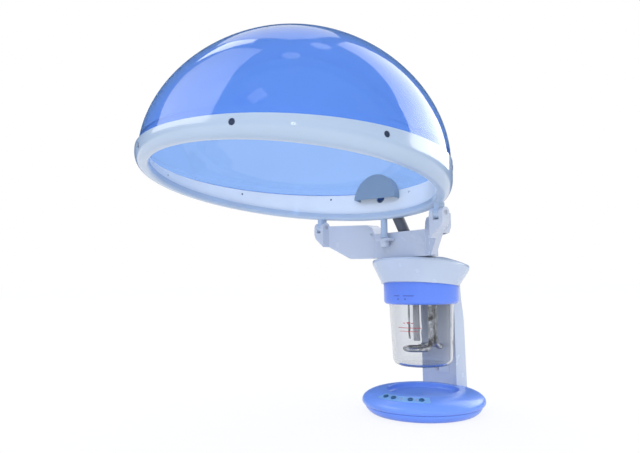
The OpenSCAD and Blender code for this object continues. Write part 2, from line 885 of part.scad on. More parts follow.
module carrier() {
    color("aliceblue") on_swivel() difference() {
        union() {
            difference() {
                intersection() {
                    union() {
                        translate([-hub_half_w, -hub_d / 2, hub_z]) cube([2 * hub_half_w, hub_d, 80]);
                        both_sides() carrier_wing();
                        both_sides() ear_block();
                    }
                    rotate([90, 0, 0]) linear_extrude(far, center = true) carrier_front();
                }
                translate([-hub_half_w + carrier_wall, -hub_d / 2 + carrier_wall, hub_z + carrier_wall])
                    cube([2 * (hub_half_w - carrier_wall), hub_d - 2 * carrier_wall, 80]);
            }
            both_sides() on_hinge(ear_in_x) cylinder(h = ear_w, r = ear_round_r);
            translate([0, 0, hub_z - spigot_l]) cylinder(h = spigot_l + 3, r = spigot_r);
        }
        translate([0, 0, hub_z - spigot_l - 1]) cylinder(h = spigot_l + 10, r = spigot_r - 2.4);
        both_sides() ear_cuts();
        both_sides() wing_pocket();
        both_sides() wing_screw_hole();
    }
}

module at_spout(z) {
    translate([spout_at[0], spout_at[1], z]) children();
}

// A small cup under a ledge on the hub's front, below the drain spout
module drain_tray() {
    color("aliceblue") on_swivel() difference() {
        union() {
            translate([spout_at[0] - ledge_l, spout_at[1] - tray_r - 1, tray_top_z - ledge_h])
                cube([ledge_l + ledge_r, tray_r + 1 - spout_at[1] - hub_d / 2 - seat_gap, ledge_h]);
            at_spout(tray_top_z - tray_h) rotate_extrude() polygon(concat(
                [[0, tray_h - 1], [0, 0]], arc([tray_r - 4, 4], [4, 4], -90, 0, 5), [[tray_r, tray_h - 1]]
            ));
        }
        at_spout(tray_top_z - tray_h + tray_wall) rotate_extrude() polygon(concat(
            [[0, tray_h], [0, 0]], arc([tray_r - 4, 4 - tray_wall], [1, 1] * (4 - tray_wall), -90, 0, 5),
            [[tray_r - tray_wall, tray_h]]
        ));
    }
}

// A lid over each half of the hub, with the steam pipe passing between the two
module hub_cover() {
    x = hub_half_w - carrier_wall - seat_gap;
    y = hub_d / 2 - carrier_wall - seat_gap;
    difference() {
        translate([throat_w / 2, -y, hub_top_z - cover_t]) cube([x - throat_w / 2, 2 * y, cover_t]);
        translate([cover_screw_x, 0, 0]) cylinder(h = far, r = 1.7);
    }
}

module hub_cover_left() {
    color("aliceblue") on_swivel() mirror([1, 0, 0]) hub_cover();
}

module hub_cover_right() {
    color("aliceblue") on_swivel() hub_cover();
}

module hub_cover_screws() {
    color("silver") on_swivel() both_sides() translate([cover_screw_x, 0, 0]) {
        translate([0, 0, hub_top_z]) cylinder(h = 1.2, r = 3);
        translate([0, 0, hub_top_z - cover_t - 6]) cylinder(h = cover_t + 6.2, r = 1.5);
    }
}

// The hinge slot and the pin's bore in one ear
module ear_cuts() {
    translate([lug_x - slot_w / 2, -hinge_reach - ear_d, hinge_z - ear_round_r - 1.5])
        cube([slot_w, 2 * ear_d, 60]);
    on_hinge(0) cylinder(h = far, r = hinge_pin_r);
}

module hinge_pin(side) {
    color("silver") on_swivel() on_hinge(side * lug_x)
        cylinder(h = ear_w - 0.6, r = hinge_pin_r - running_gap, center = true);
}

module hinge_pin_left() { hinge_pin(-1); }
module hinge_pin_right() { hinge_pin(1); }

// Hood

// Section of the rim: an open channel with a round lip
module rim_section() {
    t = rim_wall;
    polygon(concat(
        [[dome_r + 0.4, rim_top_z], [rim_out_r, rim_round_z]],
        arc([lip_mid_r, rim_round_z], [rim_out_r - lip_mid_r, rim_round_z], 0, -90, 10),
        arc([mouth_r + 4, 4], [4, 4], -90, -180, 5),
        [[mouth_r, 9], [mouth_r + t, 9]],
        arc([mouth_r + 4, 4], [4 - t, 4 - t], -180, -90, 5),
        arc([lip_mid_r, rim_round_z], [rim_out_r - lip_mid_r - t, rim_round_z - t], -90, 0, 10),
        [[dome_r + 0.4 - t, rim_top_z]]
    ));
}

module each_rim_screw() {
    for (i = [0 : rim_screw_count - 1]) rotate([0, 0, 90 - rim_screw_turn - i * 360 / rim_screw_count])
        translate([0, 0, -rim_screw_drop]) rotate([0, 90, 0]) children();
}

// The steam pipe's line: an upright foot, a knee and a leaning part that ends inside the hood
module pipe_line(r, extra) {
    v = pipe_head - pipe_knee;
    on_swivel() {
        translate(pipe_foot - [0, 0, extra]) cylinder(h = pipe_knee[2] - pipe_foot[2] + extra, r = r);
        translate(pipe_knee) {
            sphere(r = r + bead);
            rotate([0, acos(v[2] / norm(v)), atan2(v[1], v[0])]) cylinder(h = norm(v) + extra, r = r);
        }
    }
}

module hood_rim() {
    color("white") difference() {
        union() {
            on_hood() difference() {
                rotate_extrude($fn = 180) rim_section();
                on_seam() upper_half();
            }
            on_swivel() both_sides() hinge_lug();
        }
        on_hood() on_seam() each_rim_screw() {
            translate([0, 0, screw_seat_r]) cylinder(h = 20, r = 3.4);
            translate([0, 0, screw_inner_r]) cylinder(h = 30, r = screw_bore_r);
        }
        pipe_line(pipe_r + seat_gap, 0);
        on_swivel() at_spout(spout_z) cylinder(h = 40, r = spout_r + seat_gap);
    }
}

// A lug under the rim at each pin
module hinge_lug() {
    difference() {
        union() {
            translate([lug_x - lug_w / 2, -hinge_reach - 5, hinge_z]) cube([lug_w, 11, lug_rise]);
            on_hinge(lug_x - lug_w / 2) cylinder(h = lug_w, r = ear_round_r);
        }
        on_hinge(0) cylinder(h = far, r = hinge_pin_r);
    }
}

module hood_dome() {
    color("dodgerblue", 0.6) on_hood() on_seam() difference() {
        rotate_extrude($fn = 180) polygon(concat(
            [[skirt_r - dome_wall, -skirt_l], [skirt_r, -skirt_l], [skirt_r, 0], [dome_r, 0]],
            dome_curve(0, 1, dome_steps),
            dome_curve(dome_wall, dome_steps, 1),
            [[skirt_r - dome_wall, 2]]
        ));
        each_rim_screw() translate([0, 0, screw_inner_r]) cylinder(h = 30, r = screw_bore_r);
    }
}

module inner_band() {
    color("white") on_hood() difference() {
        union() {
            difference() {
                translate([0, 0, rim_wall + seat_gap])
                    tube(h = rim_top_z, r_out = band_r + rim_wall, r_in = band_r);
                on_seam() translate([0, 0, -2]) upper_half();
            }
            on_seam() each_rim_screw() translate([0, 0, screw_inner_r])
                cylinder(h = skirt_r - dome_wall - 0.3 - screw_inner_r, r = 3.6);
        }
        on_seam() each_rim_screw() translate([0, 0, band_r - 5]) cylinder(h = 30, r = 1.5);
        // The steam window behind the baffle
        rotate([0, 0, 90 + baffle_turn]) translate([band_r - 16, 0, baffle_z + 4])
            rotate([0, 90, 0]) cylinder(h = 30, r = 7);
    }
}

module rim_screws() {
    color("darkslategray") on_hood() on_seam() each_rim_screw() {
        translate([0, 0, screw_seat_r]) cylinder(h = 1.4, r = 3);
        translate([0, 0, screw_seat_r - 10]) cylinder(h = 11, r = 1.5);
    }
}

// A half round deflector stands inside the band, over the pipe's end
module steam_baffle() {
    color("slategray") on_hood() intersection() {
        rotate([0, 0, 90 + baffle_turn]) translate([band_r - baffle_d, 0, baffle_z]) difference() {
            rotate([90, 0, 90]) linear_extrude(baffle_d) difference() {
                circle(r = baffle_r);
                translate([-far / 2, -far]) square([far, far]);
            }
            translate([2, 0, 0]) rotate([90, 0, 90]) linear_extrude(baffle_d) circle(r = baffle_r - 2);
        }
        cylinder(h = 90, r = band_r - seat_gap);
    }
}

module steam_pipe() {
    color("dimgray") difference() {
        pipe_line(pipe_r, 0);
        pipe_line(pipe_r - pipe_wall, 1);
        on_hood() cylinder(h = 90, r = band_r + rim_wall + 0.3);
    }
}

module drain_spout() {
    color("white") on_swivel() at_spout(spout_z) difference() {
        union() {
            cylinder(h = spout_l, r = spout_r);
            cylinder(h = 2.5, r = spout_r + 0.6);
        }
        translate([0, 0, -1]) cylinder(h = spout_l + 9, r = spout_r - 1.4);
    }
}

base_top_shell();
base_bottom_shell();
rubber_feet();
ballast_disc();
base_screws();
control_panel();
button_power();
button_steam();
button_timer();
button_mode();
panel_lamps();
control_board();
cord_gland();
column();
column_screws();
head_shell();
head_cover();
lock_ring();
heater_flange();
heater_element();
level_probe();
sensor_tube();
steam_chest();
outlet_socket();
outlet_seal();
jar_collar();
glass_jar();
jar_seal();
carrier();
drain_tray();
hub_cover_left();
hub_cover_right();
hub_cover_screws();
hinge_pin_left();
hinge_pin_right();
hood_rim();
hood_dome();
inner_band();
rim_screws();
steam_baffle();
steam_pipe();
drain_spout();
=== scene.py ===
import json
import math

import bmesh
import bpy
from mathutils import Matrix, Vector


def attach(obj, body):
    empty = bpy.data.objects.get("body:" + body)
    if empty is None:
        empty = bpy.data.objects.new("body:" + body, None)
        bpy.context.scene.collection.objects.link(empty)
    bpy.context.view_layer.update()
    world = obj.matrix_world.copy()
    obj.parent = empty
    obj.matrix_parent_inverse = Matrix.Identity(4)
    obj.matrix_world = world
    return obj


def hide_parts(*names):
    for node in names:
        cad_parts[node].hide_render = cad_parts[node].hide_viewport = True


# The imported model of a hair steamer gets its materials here, finer pieces in place of a few of
# its nodes, plain prints, a stage and lights. All is in metres in the model's own frame: Z is up,
# and the front faces -Y.

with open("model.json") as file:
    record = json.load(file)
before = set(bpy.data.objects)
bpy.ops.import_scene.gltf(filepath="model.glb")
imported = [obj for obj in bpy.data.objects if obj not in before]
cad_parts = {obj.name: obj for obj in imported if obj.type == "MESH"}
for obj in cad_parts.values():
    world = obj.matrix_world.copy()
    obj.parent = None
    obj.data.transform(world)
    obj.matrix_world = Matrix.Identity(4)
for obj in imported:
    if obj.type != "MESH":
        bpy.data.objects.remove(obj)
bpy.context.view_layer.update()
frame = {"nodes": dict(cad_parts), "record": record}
nodes = frame["nodes"]
scene = bpy.context.scene


# Camera: fitted to the photograph, in metres and radians

CAM_PLACE = Vector((0.4179, -0.7401, 0.1876))
CAM_YAW = 0.6883
CAM_PITCH = math.radians(5.7)
CAM_ROLL = 0.0116
CAM_NEAR = 0.01
CAM_FAR = 50
FOCAL_PX = 559.5
IMAGE_W = 640
SENSOR_MM = 36.0


def photo_camera():
    """A camera at the photograph's place, turned by yaw, then pitch, then roll."""
    level = Vector((math.cos(CAM_YAW), math.sin(CAM_YAW), 0))
    ahead = Vector((-math.sin(CAM_YAW), math.cos(CAM_YAW), 0))
    forward = ahead * math.cos(CAM_PITCH) + Vector((0, 0, math.sin(CAM_PITCH)))
    upright = level.cross(forward)
    right = level * math.cos(CAM_ROLL) - upright * math.sin(CAM_ROLL)
    up = upright * math.cos(CAM_ROLL) + level * math.sin(CAM_ROLL)
    turn = Matrix((right, up, -forward)).transposed()
    data = bpy.data.cameras.new("camera")
    data.sensor_width = SENSOR_MM
    data.lens = FOCAL_PX * SENSOR_MM / IMAGE_W
    data.clip_start = CAM_NEAR
    data.clip_end = CAM_FAR
    camera = bpy.data.objects.new("camera", data)
    camera.matrix_world = Matrix.Translation(CAM_PLACE) @ turn.to_4x4()
    scene.collection.objects.link(camera)
    return camera


scene.camera = photo_camera()
scene.view_settings.view_transform = "Standard"


# Building blocks of the materials

COLOUR_STOPS = (0.35, 0.65)
NOISE_LOW, NOISE_HIGH = 0.3, 0.7


def new_material(name):
    """A material with its node tree and its main shader."""
    material = bpy.data.materials.new(name)
    material.use_nodes = True
    tree = material.node_tree
    return material, tree, tree.nodes["Principled BSDF"]


def link(tree, source, target):
    """Joins an output to an input."""
    tree.links.new(source, target)


def noise_at(tree, scale, detail=3.0):
    """A noise texture in object space, with the pieces' own metres as its unit."""
    place = tree.nodes.new("ShaderNodeTexCoord")
    noise = tree.nodes.new("ShaderNodeTexNoise")
    noise.inputs["Scale"].default_value = scale
    noise.inputs["Detail"].default_value = detail
    link(tree, place.outputs["Object"], noise.inputs["Vector"])
    return noise.outputs["Fac"]


def mixed_colour(tree, factor, low, high):
    """Goes from one colour to the other over the middle of a noise's range."""
    ramp = tree.nodes.new("ShaderNodeValToRGB")
    for stop, position, colour in zip(ramp.color_ramp.elements, COLOUR_STOPS, (low, high)):
        stop.position = position
        stop.color = (*colour, 1)
    link(tree, factor, ramp.inputs["Fac"])
    return ramp.outputs["Color"]


def ranged(tree, factor, low, high):
    """Stretches a noise's usual range to run from low to high."""
    node = tree.nodes.new("ShaderNodeMapRange")
    node.inputs["From Min"].default_value = NOISE_LOW
    node.inputs["From Max"].default_value = NOISE_HIGH
    node.inputs["To Min"].default_value = low
    node.inputs["To Max"].default_value = high
    link(tree, factor, node.inputs["Value"])
    return node.outputs["Result"]


def bumped(tree, height, strength, distance):
    """Relief from a height, with its distance in metres."""
    node = tree.nodes.new("ShaderNodeBump")
    node.inputs["Strength"].default_value = strength
    node.inputs["Distance"].default_value = distance
    link(tree, height, node.inputs["Height"])
    return node.outputs["Normal"]


def varied(colour, share):
    """A darker and a lighter version of a colour."""
    darker = tuple(c * (1 - share) for c in colour)
    lighter = tuple(min(1, c * (1 + share)) for c in colour)
    return darker, lighter


# Opaque surfaces. A grain is the scale of its noise, and its relief's strength and distance

PLASTIC = (900, 0.06, 0.00012)
FINE = (600, 0.04, 0.0001)
RUBBER = (1500, 0.3, 0.0002)
METAL = (1500, 0.1, 0.00008)
CASTING = (400, 0.5, 0.0004)
FILM = (2200, 0.08, 0.00005)
HOSE = (900, 0.15, 0.0002)

GRAIN_DETAIL = 2
GLOSS_DRIFT = 0.02
GLOSS_FINEST = 0.02
GLOSS_SCALE, GLOSS_DETAIL = 45, 5
COAT_ROUGH = 0.06


def surface(name, colour, rough, spread=0.03, grain=PLASTIC, metal=0.0, coat=0.0, patch=14):
    """A moulded, pressed or cast surface: drifting colour, uneven gloss and a fine grain."""
    material, tree, shader = new_material(name)
    tone = mixed_colour(tree, noise_at(tree, patch), *varied(colour, spread))
    link(tree, tone, shader.inputs["Base Color"])
    finest = max(GLOSS_FINEST, rough - GLOSS_DRIFT)
    gloss = ranged(tree, noise_at(tree, GLOSS_SCALE, GLOSS_DETAIL), finest, rough + GLOSS_DRIFT)
    link(tree, gloss, shader.inputs["Roughness"])
    scale, strength, distance = grain
    relief = bumped(tree, noise_at(tree, scale, GRAIN_DETAIL), strength, distance)
    link(tree, relief, shader.inputs["Normal"])
    shader.inputs["Metallic"].default_value = metal
    shader.inputs["Coat Weight"].default_value = coat
    shader.inputs["Coat Roughness"].default_value = COAT_ROUGH
    return material


# See-through solids

CLEAR_PATCH = 9
CLEAR_GLOSS_SCALE, CLEAR_GLOSS_DETAIL = 60, 4
CLEAR_GLOSS_LOW, CLEAR_GLOSS_HIGH = 0.6, 1.4
WAVES_SCALE, WAVES_DETAIL = 12, 1
WAVES_STRENGTH, WAVES_DISTANCE = 0.015, 0.0002
JAR_DENSITY = 70
JAR_SHADE = (0.42, 0.46, 0.53)


def clear_surface(name, colour, rough, index, share, spread):
    """A see-through solid, slightly wavy: the share of light that passes is the shader's own."""
    material, tree, shader = new_material(name)
    tone = mixed_colour(tree, noise_at(tree, CLEAR_PATCH), *varied(colour, spread))
    link(tree, tone, shader.inputs["Base Color"])
    uneven = noise_at(tree, CLEAR_GLOSS_SCALE, CLEAR_GLOSS_DETAIL)
    gloss = ranged(tree, uneven, rough * CLEAR_GLOSS_LOW, rough * CLEAR_GLOSS_HIGH)
    link(tree, gloss, shader.inputs["Roughness"])
    waves = noise_at(tree, WAVES_SCALE, WAVES_DETAIL)
    link(tree, bumped(tree, waves, WAVES_STRENGTH, WAVES_DISTANCE), shader.inputs["Normal"])
    shader.inputs["IOR"].default_value = index
    shader.inputs["Transmission Weight"].default_value = share
    return material


def darkened_inside(material, density, colour):
    """Takes light from the ways through a solid, and more from the long ones."""
    tree = material.node_tree
    inside = tree.nodes.new("ShaderNodeVolumeAbsorption")
    inside.inputs["Color"].default_value = (*colour, 1)
    inside.inputs["Density"].default_value = density
    link(tree, inside.outputs["Volume"], tree.nodes["Material Output"].inputs["Volume"])


HOOD_BLUE = clear_surface(
    "hood_blue", (0.31, 0.515, 0.95), rough=0.06, index=1.49, share=0.92, spread=0.02)
JAR_GLASS = clear_surface(
    "jar_glass", (0.93, 0.94, 0.96), rough=0.012, index=1.45, share=1.0, spread=0.004)
darkened_inside(JAR_GLASS, JAR_DENSITY, JAR_SHADE)


# The finish of each slot, of the nodes that differ from their slot, and of the pieces made here,
# with painted light on the inner band

BY_SLOT = {
    "hood_blue": HOOD_BLUE,
    "jar_glass": JAR_GLASS,
    "white_shell": surface(
        "white_shell", (0.555, 0.605, 0.705), rough=0.26, spread=0.012, coat=0.25),
    "hood_white": surface(
        "hood_white", (0.44, 0.55, 0.7), rough=0.18, spread=0.015, grain=FINE, coat=0.35),
    "inner_plastic": surface("inner_plastic", (0.55, 0.6, 0.68), rough=0.4),
    "base_blue": surface("base_blue", (0.165, 0.33, 0.92), rough=0.33, grain=FINE, coat=0.08),
    "collar_blue": surface("collar_blue", (0.12, 0.25, 0.86), rough=0.24, grain=FINE, coat=0.25),
    "panel_film": surface("panel_film", (0.22, 0.46, 0.86), rough=0.3, spread=0.05, grain=FILM),
    "button_teal": surface(
        "button_teal", (0.015, 0.1, 0.24), rough=0.42, spread=0.08, grain=RUBBER),
    "lamp_pink": surface("lamp_pink", (0.5, 0.42, 0.5), rough=0.15, coat=0.5),
    "board_green": surface("board_green", (0.02, 0.12, 0.05), rough=0.45, spread=0.12),
    "baffle_grey": surface("baffle_grey", (0.2, 0.3, 0.42), rough=0.34),
    "tube_grey": surface("tube_grey", (0.42, 0.44, 0.48), rough=0.35),
    "pipe_grey": surface("pipe_grey", (0.09, 0.1, 0.13), rough=0.5, grain=HOSE),
    "foot_rubber": surface("foot_rubber", (0.03, 0.03, 0.035), rough=0.75, grain=RUBBER),
    "gland_rubber": surface("gland_rubber", (0.03, 0.03, 0.035), rough=0.6, grain=RUBBER),
    "seal_rubber": surface("seal_rubber", (0.5, 0.53, 0.57), rough=0.55, grain=RUBBER),
    "ballast_iron": surface("cast_iron", (0.08, 0.08, 0.085), rough=0.7, grain=CASTING, metal=0.6),
    "screw_steel": surface("screw_steel", (0.5, 0.52, 0.56), rough=0.32, grain=METAL, metal=1.0),
    "rim_screw_dark": surface("dark_screw", (0.09, 0.11, 0.17), rough=0.3, grain=METAL, metal=0.7),
    "heater_steel": surface(
        "heater_steel", (0.3, 0.31, 0.33), rough=0.08, spread=0.9, grain=METAL, metal=1.0,
        patch=90),
}
HEAD_WHITE = surface("head_white", (0.53, 0.61, 0.745), rough=0.26, spread=0.012, coat=0.25)
BY_NODE = {
    "head_shell": HEAD_WHITE,
    "head_cover": HEAD_WHITE,
    "column": HEAD_WHITE,
    # Painted light: the inner band gets a far lighter copy of the white plastic, for light that its
    # shaded place under the dome doesn't get
    "inner_band": surface(
        "inner_band_painted_light", (0.86, 0.92, 0.98), rough=0.14, grain=FINE, coat=0.5),
}
PRINT_BLUE = surface("print_blue", (0.03, 0.05, 0.3), rough=0.4, spread=0.1)
PRINT_RED = surface("print_red", (0.5, 0.06, 0.08), rough=0.4, spread=0.15)
# Painted shade: a flat dark colour for the shadowed inside of a small hole
HOLE_SHADE_PAINT = surface("painted_hole_shade", (0.02, 0.05, 0.3), rough=0.5, spread=0.1)

for part in frame["record"]["subparts"]:
    for place in nodes[part["node"]].material_slots:
        place.material = BY_NODE.get(part["node"], BY_SLOT[part["material_slot"]])


# Shading of the nodes: welded, soft at the edges that catch the light, smooth between real edges

SHARP = math.radians(27)
WELD = 0.00001
SOFT_FROM = math.radians(40)
SOFT_PARTS = 3
SOFT_EDGES = {
    "carrier": 0.0012, "column": 0.0006, "hub_cover_left": 0.0005, "hub_cover_right": 0.0005,
    "jar_collar": 0.0004, "head_shell": 0.0003, "drain_tray": 0.0003,
    "button_power": 0.0002, "button_steam": 0.0002, "button_timer": 0.0002, "button_mode": 0.0002,
}


def smoothing_group():
    """Drops the loaded normals and shades smooth, apart from edges that turn by more than SHARP."""
    group = bpy.data.node_groups.new("smooth_between_edges", "GeometryNodeTree")
    for way in ("INPUT", "OUTPUT"):
        group.interface.new_socket("Geometry", in_out=way, socket_type="NodeSocketGeometry")
    start = group.nodes.new("NodeGroupInput")
    end = group.nodes.new("NodeGroupOutput")
    drop = group.nodes.new("GeometryNodeRemoveAttribute")
    drop.inputs["Name"].default_value = "custom_normal"
    faces = group.nodes.new("GeometryNodeSetShadeSmooth")
    faces.domain = "FACE"
    edges = group.nodes.new("GeometryNodeSetShadeSmooth")
    edges.domain = "EDGE"
    angle = group.nodes.new("GeometryNodeInputMeshEdgeAngle")
    small = group.nodes.new("FunctionNodeCompare")
    small.operation = "LESS_THAN"
    small.inputs["B"].default_value = SHARP
    link(group, start.outputs[0], drop.inputs["Geometry"])
    link(group, drop.outputs[0], faces.inputs["Geometry"])
    link(group, faces.outputs[0], edges.inputs["Geometry"])
    link(group, angle.outputs["Unsigned Angle"], small.inputs["A"])
    link(group, small.outputs[0], edges.inputs["Shade Smooth"])
    link(group, edges.outputs[0], end.inputs[0])
    return group


def shade_node(name, smoothing):
    """Adds the modifiers that shade a node. Its mesh stays as it was loaded."""
    node = nodes[name]
    weld = node.modifiers.new("weld", "WELD")
    weld.merge_threshold = WELD
    if name in SOFT_EDGES:
        soft = node.modifiers.new("soft_edge", "BEVEL")
        soft.width = SOFT_EDGES[name]
        soft.segments = SOFT_PARTS
        soft.limit_method = "ANGLE"
        soft.angle_limit = SOFT_FROM
    smooth = node.modifiers.new("smooth", "NODES")
    smooth.node_group = smoothing
    even = node.modifiers.new("even", "WEIGHTED_NORMAL")
    even.keep_sharp = True


node_smoothing = smoothing_group()
for node_name in nodes:
    shade_node(node_name, node_smoothing)


# Building blocks of the pieces made here

TOUCHING = 1e-7


def mesh_of(bm, name):
    """Ends a bmesh as a mesh."""
    mesh = bpy.data.meshes.new(name)
    bm.to_mesh(mesh)
    bm.free()
    return mesh


def smoothed(mesh):
    """Shades a mesh smooth between its sharp edges."""
    mesh.shade_smooth()
    mesh.set_sharp_from_angle(angle=SHARP)
    return mesh


def finished(name, mesh, body, material):
    """Puts a mesh in the scene on a body."""
    obj = bpy.data.objects.new(name, mesh)
    scene.collection.objects.link(obj)
    mesh.materials.append(material)
    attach(obj, body)
    return obj


def lathe_mesh(name, profile, steps, place):
    """A closed profile of (radius, height) pairs turned about Z, then moved by a matrix."""
    bm = bmesh.new()
    rings = []
    for i in range(steps):
        a = 2 * math.pi * i / steps
        rings.append([bm.verts.new((r * math.cos(a), r * math.sin(a), z)) for r, z in profile])
    for i in range(steps):
        here, there = rings[i], rings[(i + 1) % steps]
        for j in range(len(profile)):
            k = (j + 1) % len(profile)
            bm.faces.new((here[j], there[j], there[k], here[k]))
    bmesh.ops.remove_doubles(bm, verts=bm.verts, dist=TOUCHING)
    stray = [edge for edge in bm.edges if not edge.link_faces]
    bmesh.ops.delete(bm, geom=stray, context="EDGES")
    bmesh.ops.recalc_face_normals(bm, faces=bm.faces)
    bm.transform(place)
    return smoothed(mesh_of(bm, name))


def plate_profile(radius, thickness):
    """The profile of a thin round plate, for lathe_mesh."""
    return [(0, 0), (radius, 0), (radius, thickness), (0, thickness)]


def united(name, first, second):
    """One closed skin from two closed meshes that overlap."""
    whole = bpy.data.objects.new(name + "_a", first)
    added = bpy.data.objects.new(name + "_b", second)
    for piece in (whole, added):
        scene.collection.objects.link(piece)
    join = whole.modifiers.new("join", "BOOLEAN")
    join.operation = "UNION"
    join.solver = "EXACT"
    join.object = added
    graph = bpy.context.evaluated_depsgraph_get()
    mesh = bpy.data.meshes.new_from_object(whole.evaluated_get(graph))
    mesh.name = name
    for piece in (whole, added):
        bpy.data.objects.remove(piece)
    mesh.materials.clear()
    return smoothed(mesh)


# The hood's dome, turned by its formula in fine steps so that it mirrors cleanly

OUTLET_Y = -0.038
CARRIER_TURN = math.radians(-11)
DOME_R = 0.187
DOME_H = 0.163
DOME_POWER = 1.88
DOME_WALL = 0.0016
SHOULDER_LOW, SHOULDER_HIGH = 0.002, 0.0097
HOOD_BACK = 0.0145
HOOD_REACH = DOME_R + HOOD_BACK
HOOD_Z = 0.3015
HOOD_TILT = math.radians(7.8)
RIM_H = 0.0305
RIM_WEDGE = math.radians(3.8)
SPIGOT_INSET = 0.0037
SPIGOT_R = DOME_R - SPIGOT_INSET
SPIGOT_L = 0.012
DOME_STEPS = 72
DOME_TURNS = 240


def seam_place():
    """The frame of the seam between rim and dome, by way of the swivel and the hinge."""
    swivel = Matrix.Translation((0, OUTLET_Y, 0)) @ Matrix.Rotation(CARRIER_TURN, 4, "Z")
    hinge = swivel @ Matrix.Translation((0, -HOOD_REACH, HOOD_Z))
    hood = hinge @ Matrix.Rotation(-HOOD_TILT, 4, "X")
    return hood @ Matrix.Translation((0, 0, RIM_H)) @ Matrix.Rotation(RIM_WEDGE, 4, "X")


def dome_skin(wall, first):
    """Points up one skin of the dome, from a height to the crown."""
    top = DOME_H - wall
    start = math.asin(first / top)
    points = []
    for i in range(DOME_STEPS + 1):
        z = top * math.sin(start + (math.pi / 2 - start) * i / DOME_STEPS)
        share = max(0.0, 1 - (z / top) ** DOME_POWER)
        points.append(((DOME_R - wall) * share ** (1 / DOME_POWER), z))
    return points


def dome_profile():
    """Round the dome's wall: the spigot in the rim, up the outer skin, then down the inner one."""
    inner_r = SPIGOT_R - DOME_WALL
    points = [(inner_r, -SPIGOT_L), (SPIGOT_R, -SPIGOT_L), (SPIGOT_R, 0)]
    points += dome_skin(0, 0)
    points += reversed(dome_skin(DOME_WALL, SHOULDER_HIGH))
    points.append((inner_r, SHOULDER_LOW))
    return points


dome_mesh = lathe_mesh("dome_turned", dome_profile(), DOME_TURNS, seam_place())
dome = finished("dome_turned", dome_mesh, "hood", BY_SLOT["hood_blue"])
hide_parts("hood_dome")

# The clear pieces cast no shadow, so that light reaches what is behind them
for clear in (dome, nodes["glass_jar"]):
    clear.visible_shadow = False


# The base's lower shell, with a skirt at its foot that hides the feet from the side

SKIRT_TURNS = 180
SHELL_WELD = 1e-6
SKIRT_PROFILE = [
    (0.0845, 0.0109), (0.0836, 0.0082), (0.0817, 0.0052), (0.0792, 0.0027), (0.0772, 0.0012),
    (0.0758, 0.0005), (0.0735, 0.0005), (0.0735, 0.0025), (0.0778, 0.0058), (0.0810, 0.0104),
]


def lower_shell_mesh():
    """A welded copy of the lower shell's mesh, where the shell is."""
    shell = nodes["base_bottom_shell"]
    bm = bmesh.new()
    bm.from_mesh(shell.data)
    bm.transform(shell.matrix_world)
    bmesh.ops.remove_doubles(bm, verts=bm.verts, dist=SHELL_WELD)
    return mesh_of(bm, "base_lower_shell")


skirt_mesh = lathe_mesh("base_skirt", SKIRT_PROFILE, SKIRT_TURNS, Matrix.Identity(4))
lower_mesh = united("base_lower_skirted", lower_shell_mesh(), skirt_mesh)
base_lower = finished("base_lower_skirted", lower_mesh, "stand", BY_SLOT["base_blue"])
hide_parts("base_bottom_shell")


# The column: its front hugs the jar, its rear corners are sharper and further out at the foot

COLUMN_LOW, COLUMN_TOP = 0.0205, 0.172
COLUMN_HALF, COLUMN_FLARE = 0.0285, 0.003
COLUMN_BACK, COLUMN_BACK_FOOT = 0.085, 0.0835
CORNER_TOP, CORNER_FOOT = 0.012, 0.003
CORNER_PARTS = 8
EASE = 0.05
EASE_PARTS = 14
SHAFT_PARTS = 6
HUG_Y, HUG_R = 0.003, 0.0565
HUG_PARTS = 16
TAB_X = (-0.003, 0.014)
TAB_Z = (0.048, 0.058)
TAB_PROUD, TAB_DEPTH = 0.0026, 0.004
BOX_FACES = ((0, 1, 3, 2), (4, 6, 7, 5), (0, 4, 5, 1), (2, 3, 7, 6), (0, 2, 6, 4), (1, 5, 7, 3))


def column_outline(z):
    """The plan at a height: the right side, its mirror image, and the arc round the jar."""
    eased = min(1, (COLUMN_TOP - z) / EASE)
    eased = eased * eased * (3 - 2 * eased)
    low = min(1, (COLUMN_TOP - z) / (COLUMN_TOP - COLUMN_LOW))
    rear = COLUMN_HALF + COLUMN_FLARE * low
    back = COLUMN_BACK + (COLUMN_BACK_FOOT - COLUMN_BACK) * low
    corner = CORNER_TOP + (CORNER_FOOT - CORNER_TOP) * eased
    points = [(COLUMN_HALF, HUG_Y + math.sqrt(HUG_R ** 2 - COLUMN_HALF ** 2))]
    for i in range(CORNER_PARTS + 1):
        a = math.pi / 2 * i / CORNER_PARTS
        points.append((rear - corner + corner * math.cos(a), back - corner + corner * math.sin(a)))
    points += [(-x, y) for x, y in reversed(points)]
    half = math.asin(COLUMN_HALF / HUG_R)
    for i in range(1, HUG_PARTS):
        a = -half + 2 * half * i / HUG_PARTS
        points.append((HUG_R * math.sin(a), HUG_Y + HUG_R * math.cos(a)))
    return points


def column_mesh():
    """The column's body through its outlines, in finer steps under the head's neck."""
    heights = [COLUMN_TOP - EASE * i / EASE_PARTS for i in range(EASE_PARTS + 1)]
    eased = heights[-1]
    heights += [eased + (COLUMN_LOW - eased) * i / SHAFT_PARTS for i in range(1, SHAFT_PARTS + 1)]
    bm = bmesh.new()
    rings = [[bm.verts.new((x, y, z)) for x, y in column_outline(z)] for z in heights]
    for upper, under in zip(rings, rings[1:]):
        for j in range(len(upper)):
            k = (j + 1) % len(upper)
            bm.faces.new((upper[j], upper[k], under[k], under[j]))
    bm.faces.new(rings[0])
    bm.faces.new(list(reversed(rings[-1])))
    bmesh.ops.recalc_face_normals(bm, faces=bm.faces)
    return mesh_of(bm, "column_body")


def tab_mesh():
    """A small block that stands out of the front of the column, below the jar."""
    front = HUG_Y + HUG_R - TAB_PROUD
    bm = bmesh.new()
    corners = [(x, y, z) for x in TAB_X for y in (front, front + TAB_DEPTH) for z in TAB_Z]
    tab = [bm.verts.new(c) for c in corners]
    for face in BOX_FACES:
        bm.faces.new([tab[i] for i in face])
    bmesh.ops.recalc_face_normals(bm, faces=bm.faces)
    return mesh_of(bm, "column_tab")


